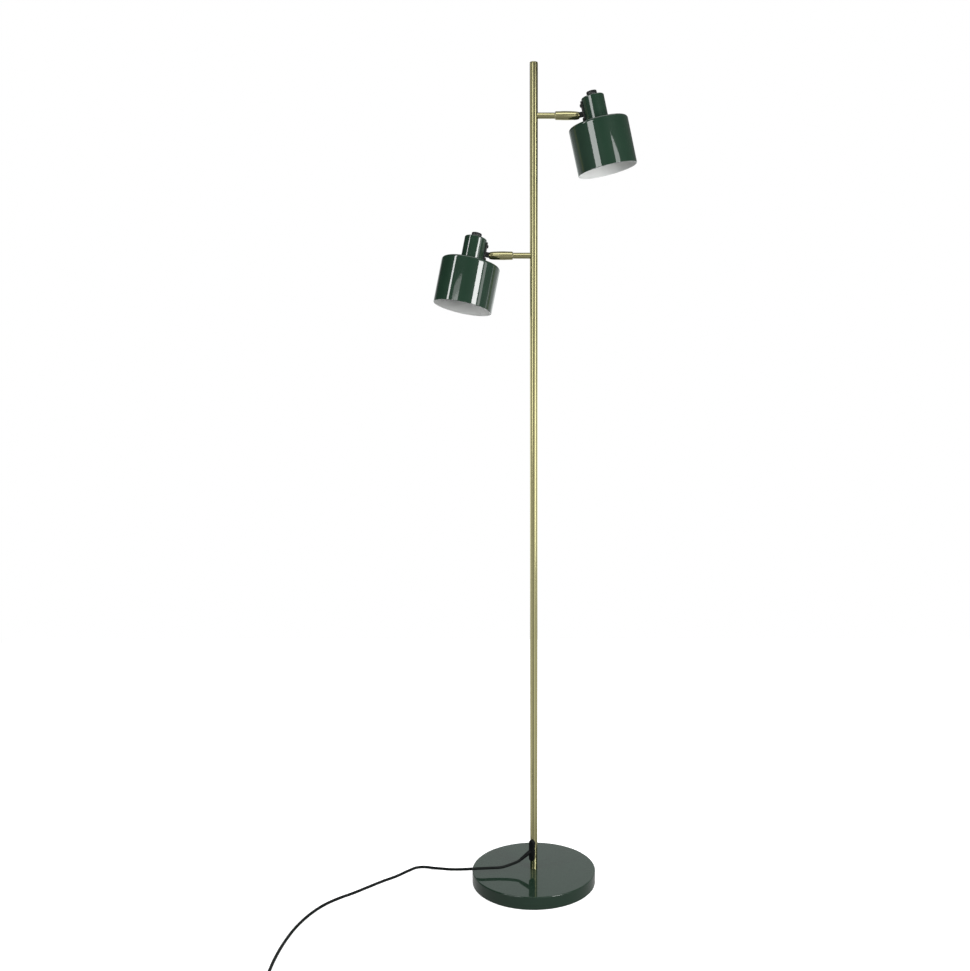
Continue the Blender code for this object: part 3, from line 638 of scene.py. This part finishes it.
def build_gland():
    """Oblong two-part gland that hugs the pole, split down its middle."""
    low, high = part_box("cable_gland")
    out = Vector((-math.sin(GLAND_AZIMUTH), -math.cos(GLAND_AZIMUTH), 0.0))
    matrix = Matrix.Translation((0, 0, (low.z + high.z) / 2))
    side = Vector((0, 0, 1)).cross(out)
    matrix = matrix @ Matrix((out, side, (0, 0, 1))).transposed().to_4x4()
    _, high = extent("cable_gland", matrix)
    face, half_wide, half_long = high
    sections = [[(0.0035, y, z) for y, z in stadium(half_wide, -half_long, half_long)]]
    edge = 0.0018
    for k in range(7):
        a = math.pi / 2 * k / 6
        inset = edge * (1 - math.cos(a))
        loop = stadium(half_wide - inset, -half_long + inset, half_long - inset)
        sections.append([(face - edge + edge * math.sin(a), y, z) for y, z in loop])
    body = placed(skinned("gland_body", sections), matrix)
    pole_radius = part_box("pole")[1].x
    hug_low, hug_high = 0.030, 0.100
    hug = drill("hug", pole_radius + GAP, hug_low, hug_high, 96)
    groove = block("groove", (face - 0.0007, -0.0004, -0.030), (face + 0.002, 0.0004, 0.030))
    cut(body, (hug, Matrix.Identity(4)), (groove, matrix))
    finish_piece(body, "stand", "black_rubber", ["cable_gland"])


# ---------------------------------------------------------------- arms
def arm_frame(name):
    """On the pole's axis, local Z out along the arm, local Y level."""
    joint = JOINTS[f"{name}_swivel"]
    out = Vector(joint["axis"])
    origin = Vector((0, 0, joint["pos_m"][2]))
    return basis(origin, Vector((0, 0, 1)).cross(out), out)


def barrel_frame(name):
    """As the arm's, but turned with the swivel: local Y is the tilt pin."""
    joint = JOINTS[f"{name}_swivel"]
    origin = Vector((0, 0, joint["pos_m"][2]))
    return basis(origin, JOINTS[f"{name}_tilt"]["axis"], joint["axis"])


def tilt_frame(name):
    """On the tilt pin: local Z along the head's axis, local Y along the pin, local X outward."""
    return basis(JOINTS[f"{name}_tilt"]["pos_m"], JOINTS[f"{name}_tilt"]["axis"],
                 JOINTS[f"{name}_switch"]["axis"])


def shell_frame(name):
    """As the tilt frame, moved to the middle of the shade's top."""
    matrix = tilt_frame(name)
    low, high = extent(f"{name}_shade", matrix)
    return matrix @ shift(x=(low.x + high.x) / 2, z=high.z)


def build_arm(name):
    arm = arm_frame(name)
    _, high = extent(f"{name}_arm_rod", arm)
    radius, bore, end = high.y, high.y - ARM_WALL, high.z
    outline = filleted([(bore, 0.0030), (radius, 0.0030), (radius, end, 0.0003), (bore, end)], 4)
    sleeve = placed(turned(f"{name}_arm_sleeve", outline, 72), arm)
    pole_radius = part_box("pole")[1].x
    height = arm.translation.z
    cut(sleeve, (drill("saddle", pole_radius + GAP, height - 0.02, height + 0.02, 96), Matrix.Identity(4)))
    finish_piece(sleeve, "stand", "satin_brass", [f"{name}_arm_rod"])

    low, high = extent(f"{name}_swivel_washer", arm)
    edge = 0.0003
    outline = filleted([(bore, low.z), (high.y, low.z, edge), (high.y, high.z, edge), (bore, high.z)], 4)
    washer = placed(turned(f"{name}_swivel_ring", outline, 72), arm)
    finish_piece(washer, "stand", "satin_brass", [f"{name}_swivel_washer"])


def build_barrel(name):
    body = f"{name}_barrel"
    matrix = barrel_frame(name)
    low, high = extent(f"{name}_swivel_barrel", matrix)
    start, end, widest = low.z, high.z, 0.00735
    bore, wire_way, bore_end = 0.0043, 0.0015, 0.0520
    length = end - start
    profile = [(0.000, 0.900), (0.010, 0.945), (0.060, 0.958), (0.170, 0.968), (0.260, 0.985),
               (0.360, 1.000), (0.500, 0.998), (0.640, 0.980), (0.770, 0.950), (0.880, 0.900),
               (0.950, 0.840), (0.985, 0.770), (1.000, 0.700)]
    curve = smooth_route([(widest * r, start + length * t, 0.0) for t, r in profile], 4)
    outline = [(p.x, p.y) for p in curve]
    outline += [(wire_way, end), (wire_way, bore_end), (bore, bore_end), (bore, start)]
    barrel = placed(turned(f"{name}_barrel_body", outline, 72), matrix)
    pin = matrix @ shift(z=(Vector(JOINTS[f"{name}_tilt"]["pos_m"]) - matrix.translation).length)
    across = pin @ ALONG_Y
    slot_half, cheek = 0.0018, 0.0055
    slot = block("slot", (-0.010, -slot_half, -0.0052), (0.010, slot_half, 0.010))
    cut(barrel,
        (drill("pivot_hole", PIVOT_HOLE, -0.010, 0.010), across),
        (slot, pin),
        (drill("front_face", 0.0030, -0.009, -cheek), across),
        (drill("back_face", 0.0030, cheek, 0.009), across))
    finish_piece(barrel, body, "satin_brass", [f"{name}_swivel_barrel"])

    crown = 0.0069
    face = cheek + GAP
    tip = crown - 0.0004
    outline = filleted([(0, -crown), (PIVOT_HEAD, -crown, 0.0006), (PIVOT_HEAD, -face),
                        (PIVOT_SHANK, -face), (PIVOT_SHANK, tip, 0.0003), (0, tip)], 5)
    screw = placed(turned(f"{name}_pin_screw", outline, 40), across)
    slit = block("slit", (-0.0030, -0.0003, -crown - 0.001), (0.0030, 0.0003, -crown + 0.0006))
    cut(screw, (slit, across @ Matrix.Rotation(math.radians(35), 4, "Z")))
    finish_piece(screw, body, "satin_brass", [f"{name}_pivot_screw"])
    outline = filleted([(PIVOT_HOLE, face), (PIVOT_HEAD, face, 0.0002), (PIVOT_HEAD, crown, 0.0006),
                        (PIVOT_HOLE, crown)], 5)
    nut = placed(turned(f"{name}_pin_nut", outline, 40), across)
    finish_piece(nut, body, "satin_brass", [f"{name}_pivot_nut"])


# ---------------------------------------------------------------- heads
def build_bracket(name):
    """Strap that hugs the cup, with a tongue into the barrel's slot."""
    body = f"{name}_head"
    matrix = tilt_frame(name)
    low, high = extent(f"{name}_head_bracket", matrix)
    shade_low, shade_high = extent(f"{name}_shade", matrix)
    axis_x = (shade_low.x + shade_high.x) / 2
    cup_radius = extent(f"{name}_socket_cup", shell_frame(name))[1].x
    thick, edge, half_wide = 0.0022, 0.0007, high.y
    face = axis_x - cup_radius - GAP - thick
    sections = []
    for k in range(5):
        a = math.pi / 2 * k / 4
        inset = edge * (1 - math.sin(a))
        loop = stadium(half_wide - inset, low.z + inset, high.z - inset)
        sections.append([(face + edge * (1 - math.cos(a)), y, z) for y, z in loop])
    outer = stadium(half_wide, low.z, high.z)
    sections.append([(face + thick + 0.0030, y, z) for y, z in outer])
    strap = placed(skinned(f"{name}_strap", sections), matrix)
    around = matrix @ shift(x=axis_x)
    cut(strap, (drill("hug", cup_radius + GAP, -0.030, 0.030, 128), around))
    half_high, half_thick = 0.0045, 0.0015
    root = face + thick / 2
    rim = [math.pi / 2 + math.pi * i / 24 for i in range(25)]
    profile = [(half_high * math.cos(a), half_high * math.sin(a)) for a in rim]
    profile += [(root, -half_high), (root, half_high)]
    plates = [[(x, y, z) for x, z in profile] for y in (-half_thick, half_thick)]
    cut(strap, (skinned("tongue", plates), matrix), operation="UNION")
    cut(strap, (drill("tongue_hole", PIVOT_HOLE, -0.004, 0.004), matrix @ ALONG_Y))
    for place, height in STRAP_SCREWS.items():
        across = matrix @ shift(z=height) @ ALONG_X
        cut(strap, (drill("screw_hole", SCREW_HOLE, 0.006, 0.020, 24), across))
        seat, tip = face - GAP, axis_x - cup_radius + 0.0026
        dome, shank = 0.0028, 0.0014
        outline = filleted([(0, seat - 0.0019), (dome, seat - 0.0017, 0.0011), (dome, seat, 0.0002),
                            (shank, seat), (shank, tip, 0.0003), (0, tip)], 6)
        screw = placed(turned(f"{name}_strap_screw_{place}", outline, 36), across)
        slits = [(block("slit", (-0.0016, -0.00035, seat - 0.004), (0.0016, 0.00035, seat - 0.0010)),
                  across @ Matrix.Rotation(math.radians(angle), 4, "Z")) for angle in (20, 110)]
        cut(screw, *slits)
        finish_piece(screw, body, "black_steel", [f"{name}_bracket_screw_{place}"])
    finish_piece(strap, body, "black_steel", [f"{name}_head_bracket"])


def build_cup(name):
    matrix = shell_frame(name)
    low, high = extent(f"{name}_socket_cup", matrix)
    radius, wall, hole = high.x, 0.0012, 0.0055
    outline = filleted([
        (radius - wall, low.z),
        (radius, low.z, 0.0004),
        (radius, high.z, 0.0022),
        (hole, high.z, 0.0003),
        (hole, high.z - wall),
        (radius - wall, high.z - wall, 0.0010),
    ], 8)
    cup = placed(turned(f"{name}_cup", outline, 128), matrix)
    tilt = tilt_frame(name)
    for height in STRAP_SCREWS.values():
        cut(cup, (drill("screw_hole", SCREW_HOLE, 0.006, 0.020, 24), tilt @ shift(z=height) @ ALONG_X))
    finish_piece(cup, f"{name}_head", "green_lacquer", [f"{name}_socket_cup"])


def build_shade(name):
    """Spun shade: rounded shoulder, straight wall and a fine rolled lip; white inside."""
    matrix = shell_frame(name)
    low, high = extent(f"{name}_shade", matrix)
    radius, wall, mouth, hole = high.x, 0.0010, low.z, 0.0150
    lip = radius - wall - 0.0004
    outline = filleted([
        (lip, mouth, 0.0005),
        (radius, mouth, 0.0006),
        (radius, 0.0, 0.0042),
        (hole, 0.0),
        (hole, -wall),
        (radius - wall, -wall, 0.0032),
        (radius - wall, mouth + 0.0022, 0.0010),
        (lip, mouth + 0.0014, 0.0006),
    ], 8)
    shade = placed(turned(f"{name}_shade_shell", outline, 160), matrix)
    finish_piece(shade, f"{name}_head", ["green_lacquer", "white_enamel"], [f"{name}_shade"])
    for face in shade.data.polygons:
        faces_axis = face.normal.xy.dot(face.center.xy.normalized()) < -0.3
        under_top = face.normal.z < -0.5 and face.center.z > mouth / 2
        face.material_index = 1 if faces_axis or under_top else 0


def build_inside(name):
    """Lampholder, clamping ring and bulb, seen when the mouth is turned up."""
    body = f"{name}_head"
    matrix = shell_frame(name)
    low, high = extent(f"{name}_lampholder", matrix)
    skirt, bore, flange, groove = 0.0135, 0.0078, high.x, 0.0006
    flange_top, bore_top = 0.0021, 0.0160
    outline = filleted([
        (bore, low.z, 0.0004),
        (skirt, low.z, 0.0008),
        (skirt, low.z + 0.0020),
        (skirt - groove, low.z + 0.0022),
        (skirt - groove, low.z + 0.0040),
        (skirt, low.z + 0.0042),
        (skirt, GAP),
        (flange, GAP),
        (flange, flange_top, 0.0004),
        (skirt, flange_top),
        (skirt, high.z, 0.0010),
        (0, high.z),
        (0, bore_top),
        (bore, bore_top),
    ], 4)
    holder = placed(turned(f"{name}_holder", outline, 72), matrix)
    finish_piece(holder, body, "black_plastic", [f"{name}_lampholder"])

    low, high = extent(f"{name}_shade_ring", matrix)
    inner, outer, grips = skirt + GAP, high.x, 24

    def notched(angle, r, h):
        return r - 0.0004 * (0.5 + 0.5 * math.cos(grips * angle)) ** 2 if r > 0.9 * outer else r

    outline = filleted([(inner, low.z, 0.0003), (outer, low.z, 0.0006), (outer, high.z), (inner, high.z)], 4)
    ring = placed(turned(f"{name}_clamp_ring", outline, 192, notched), matrix)
    finish_piece(ring, body, "black_plastic", [f"{name}_shade_ring"])

    low, high = extent(f"{name}_bulb_glass", matrix)
    radius, wall, neck, top = high.x, 0.0008, 0.0066, high.z
    centre = low.z + radius
    shoulder = math.radians(50)
    outer = [(radius * math.cos(a), centre + radius * math.sin(a))
             for a in np.linspace(-math.pi / 2, shoulder, 40)]
    outer[0] = (0, low.z)
    slope = smooth_route([(outer[-1][0], outer[-1][1], 0), (0.0104, -0.0196, 0), (0.0077, -0.0168, 0),
                          (neck, top, 0)], 5)
    outer += [(p.x, p.y) for p in slope[1:]]
    inner = [(max(0.0, r - wall), h - wall * math.sin(math.atan2(h - centre, r)) * (h < centre))
             for r, h in reversed(outer)]
    inner[-1] = (0, low.z + wall)
    glass = placed(turned(f"{name}_globe", outer + inner, 72), matrix)
    finish_piece(glass, body, "opal_glass", [f"{name}_bulb_glass"])


def build_knob(name):
    """Rotary knob with fine grip ribs and a pointer groove across its top."""
    joint = JOINTS[f"{name}_switch"]
    matrix = basis(joint["pos_m"], JOINTS[f"{name}_tilt"]["axis"], joint["axis"])
    low, high = extent(f"{name}_switch_knob", matrix)
    radius, bore, roof, ribs = high.x, 0.0053, 0.0050, 30

    def ribbed(angle, r, h):
        grip = r > 0.985 * radius and low.z + 0.0009 < h < high.z - 0.0011
        return r - 0.00022 * (0.5 + 0.5 * math.cos(ribs * angle)) if grip else r

    wall_low, wall_high = low.z + 0.0012, high.z - 0.0014
    dish = radius * 0.62
    plain = radius - 0.0001
    outline = filleted([
        (bore, low.z),
        (plain, low.z, 0.0003),
        (plain, wall_low - 0.0002),
        (radius, wall_low),
        (radius, wall_high),
        (plain, wall_high + 0.0002),
        (plain, high.z, 0.0008),
        (dish, high.z),
        (radius * 0.58, high.z - 0.0003),
        (0, high.z - 0.0004),
        (0, roof),
        (bore, roof),
    ], 5)
    knob = placed(turned(f"{name}_knob_cap", outline, 240, ribbed), matrix)
    pointer = block("pointer", (dish, -0.0004, high.z - 0.0005),
                    (radius * 0.92, 0.0004, high.z + 0.001))
    cut(knob, (pointer, matrix))
    finish_piece(knob, f"{name}_knob", "black_plastic", [f"{name}_switch_knob"], sharp=40)


# ---------------------------------------------------------------- hidden frame nodes
def dress_frame_nodes():
    """The frame's own nodes that stay take the same looks, by their record slot."""
    slots = {row["node"]: row["material_slot"] for row in frame["record"]["subparts"]}
    for node, obj in frame["nodes"].items():
        if not obj.hide_render:
            for index in range(len(obj.material_slots)):
                obj.material_slots[index].material = LOOKS[slots[node]]


# ---------------------------------------------------------------- studio
def build_floor():
    """White floor that catches the contact shadow. The world gives its bounce and reflection."""
    made = material("pale_floor", (0.80, 0.80, 0.80), 0.9, extra={
        "Specular IOR Level": 0.0,
        "Emission Color": (1, 1, 1, 1),
        "Emission Strength": 0.70,
    })
    vary_colour(made, noise(made, 3.0, detail=4.0), (0.79, 0.79, 0.79), (0.81, 0.81, 0.81))
    half = 1.95
    corners = ((-half, -half), (half, -half), (half, half), (-half, half))
    bm = bmesh.new()
    bm.faces.new([bm.verts.new((x, y, 0.0)) for x, y in corners])
    floor = placed(shaped(bm, "floor"), Matrix.Identity(4))
    floor.data.materials.append(made)
    floor.visible_glossy = False
    floor.visible_diffuse = False
    floor.visible_shadow = False


def softbox(name, azimuth, elevation, distance, target, width, height, radiance, lights_brass=None):
    """A rectangle of light. Azimuth runs from the lamp's front towards +X, in degrees.

    lights_brass limits it to the brass pieces (True) or to all the others (False).
    """
    data = bpy.data.lights.new(name, "AREA")
    data.shape = "RECTANGLE"
    data.size, data.size_y = width, height
    data.energy = radiance * math.pi * width * height
    a, e = math.radians(azimuth), math.radians(elevation)
    out = Vector((math.sin(a) * math.cos(e), -math.cos(a) * math.cos(e), math.sin(e)))
    light = bpy.data.objects.new(name, data)
    light.location = Vector(target) + out * distance
    light.rotation_euler = out.to_track_quat("Z", "Y").to_euler()
    light.visible_camera = False
    bpy.context.collection.objects.link(light)
    if lights_brass is not None:
        light.light_linking.receiver_collection = brass_group(lights_brass)
    return light


def brass_group(included):
    """The brass pieces as a light's receivers, or as the pieces that it leaves out."""
    name = "brass_only" if included else "all_but_brass"
    if name not in bpy.data.collections:
        group = bpy.data.collections.new(name)
        for obj in bpy.context.collection.objects:
            if obj.type == "MESH" and LOOKS["satin_brass"] in obj.data.materials[:]:
                group.objects.link(obj)
        for member in group.collection_objects:
            member.light_linking.link_state = "INCLUDE" if included else "EXCLUDE"
    return bpy.data.collections[name]


def build_world():
    """Grey studio, lighter on the right, over a grey ground that is striped far off.

    The stripes show in the pole's lower half. The camera itself sees plain white.
    """
    world = bpy.data.worlds.new("studio")
    bpy.context.scene.world = world
    world.use_nodes = True
    tree = world.node_tree
    background = tree.nodes["Background"]
    background.inputs["Color"].default_value = (1, 1, 1, 1)
    direction = tree.nodes.new("ShaderNodeTexCoord")
    split = tree.nodes.new("ShaderNodeSeparateXYZ")
    tree.links.new(direction.outputs["Generated"], split.inputs["Vector"])

    def ramp(axis, *stops):
        """Radiance over one component of the direction: stops are (component, radiance)."""
        curve = tree.nodes.new("ShaderNodeFloatCurve")
        points = curve.mapping.curves[0].points
        for index, (place, radiance) in enumerate(stops):
            spot = (0.5 + 0.5 * place, radiance)
            if index < 2:
                points[index].location = spot
            else:
                points.new(*spot)
        for point in points:
            point.handle_type = "VECTOR"
        curve.mapping.update()
        half = tree.nodes.new("ShaderNodeMath")
        half.operation = "MULTIPLY_ADD"
        half.inputs[1].default_value = 0.5
        half.inputs[2].default_value = 0.5
        tree.links.new(split.outputs[axis], half.inputs[0])
        tree.links.new(half.outputs["Value"], curve.inputs["Value"])
        return curve.outputs["Value"]

    def combine(operation, first, second):
        node = tree.nodes.new("ShaderNodeMath")
        node.operation = operation
        tree.links.new(first, node.inputs[0])
        tree.links.new(second, node.inputs[1])
        return node.outputs["Value"]

    height = ramp("Z", (-1.0, 0.30), (-0.25, 0.45), (0.0, 0.50), (0.14, 0.36), (0.22, 0.18),
                  (0.60, 0.28), (1.0, 0.50))
    side = ramp("X", (-1.0, 0.16), (-0.45, 0.14), (-0.25, 0.55), (0.10, 0.65), (0.30, 0.80), (1.0, 0.60))
    near_ground = ramp("Z", (-1.0, 0.26), (-0.50, 0.36), (-0.43, 0.38), (-0.40, 0.0), (1.0, 0.0))
    far_ground = ramp("Z", (-1.0, 0.0), (-0.43, 0.0), (-0.38, 1.0), (-0.02, 1.0), (0.06, 0.0), (1.0, 0.0))
    stripes = ramp("X", (-1.0, 0.16), (-0.82, 0.20), (-0.68, 0.70), (-0.50, 0.60), (-0.38, 0.15),
                   (-0.12, 0.10), (0.12, 0.80), (0.34, 0.90), (0.60, 0.62), (1.0, 0.56))
    path = tree.nodes.new("ShaderNodeLightPath")
    ground = combine("MAXIMUM", near_ground, combine("MULTIPLY", far_ground, stripes))
    radiance = combine("MAXIMUM", combine("MULTIPLY", height, side), ground)
    tree.links.new(combine("MAXIMUM", path.outputs["Is Camera Ray"], radiance),
                   background.inputs["Strength"])


def build_lights():
    """Radiances are relative to white. The backdrop is low, so the heads' tops stay dark.

    Brass mirrors more than lacquer does, so weaker lights of its own draw its stripes. The lights
    marked False leave it out, and only the backdrop lights every piece.
    """
    upper, lower = (0.12, 0, 1.39), (-0.12, 0, 1.13)
    wall_distance, wall_middle, wall_height = 2.00, 0.86, 1.70
    wall = softbox("backdrop", 180, 0, wall_distance, (0, 0, wall_middle), 2.6, wall_height, 0.53)
    wall.data.color = (0.93, 1.0, 0.98)
    for name, x, radiance, lights_brass in (
        ("backdrop_left", -3.4, 0.20, False),
        ("backdrop_right", 3.4, 0.22, False),
        ("backdrop_left_brass", -3.4, 0.65, True),
        ("backdrop_right_brass", 3.4, 0.80, True),
    ):
        softbox(name, 180, 0, wall_distance, (x, 0, wall_middle), 4.2, wall_height, radiance, lights_brass)
    softbox("top_box", 0, 89, 2.00, (0, 0.10, 1.0), 1.8, 1.2, 1.6, False)
    softbox("left_box", -36.5, 2, 2.00, upper, 0.74, 0.90, 8.5, False)
    softbox("left_glow_low", -35, 13.4, 2.00, upper, 0.78, 0.28, 2.6, False)
    softbox("left_glow_high", -35, 12.4, 2.02, upper, 0.78, 0.24, 2.4, False)
    softbox("left_strip", -61, 31, 2.00, lower, 0.24, 1.00, 15.0, False)
    softbox("right_box", 46, 1, 1.90, lower, 0.58, 1.06, 19.0, False)
    softbox("right_glow", 44, 20.5, 1.90, lower, 0.50, 0.24, 6.0, False)
    softbox("right_strip", 65, 5, 2.00, lower, 0.34, 1.10, 3.2, False)
    softbox("right_line", 103, 3, 2.00, lower, 0.07, 1.10, 2.5, False)
    softbox("far_left_brass", -95, -12, 2.00, upper, 1.5, 3.20, 0.60, True)
    softbox("left_brass", -42, 2, 2.00, upper, 0.60, 1.50, 1.9, True)
    softbox("centre_brass", -14, 6, 2.10, upper, 0.40, 0.90, 0.9, True)
    softbox("right_brass", 52, 0, 1.90, lower, 0.70, 1.60, 2.1, True)
    softbox("high_brass", 0, 48, 2.00, (0, 0, 1.3), 1.6, 1.30, 1.5, True)
    softbox("lower_fill", -60, -35, 0.90, lower, 0.5, 0.5, 3.6, False).visible_glossy = False


build_floor()
build_world()
lead, lead_exit = build_lead()
build_relief()
tie = build_tie()
plug_pieces = build_plug()
build_base()
build_pole()
build_gland()
for head in HEADS:
    build_arm(head)
    build_barrel(head)
    build_bracket(head)
    build_cup(head)
    build_shade(head)
    build_inside(head)
    build_knob(head)
dress_frame_nodes()
build_lights()

bpy.context.scene.view_settings.view_transform = "Standard"
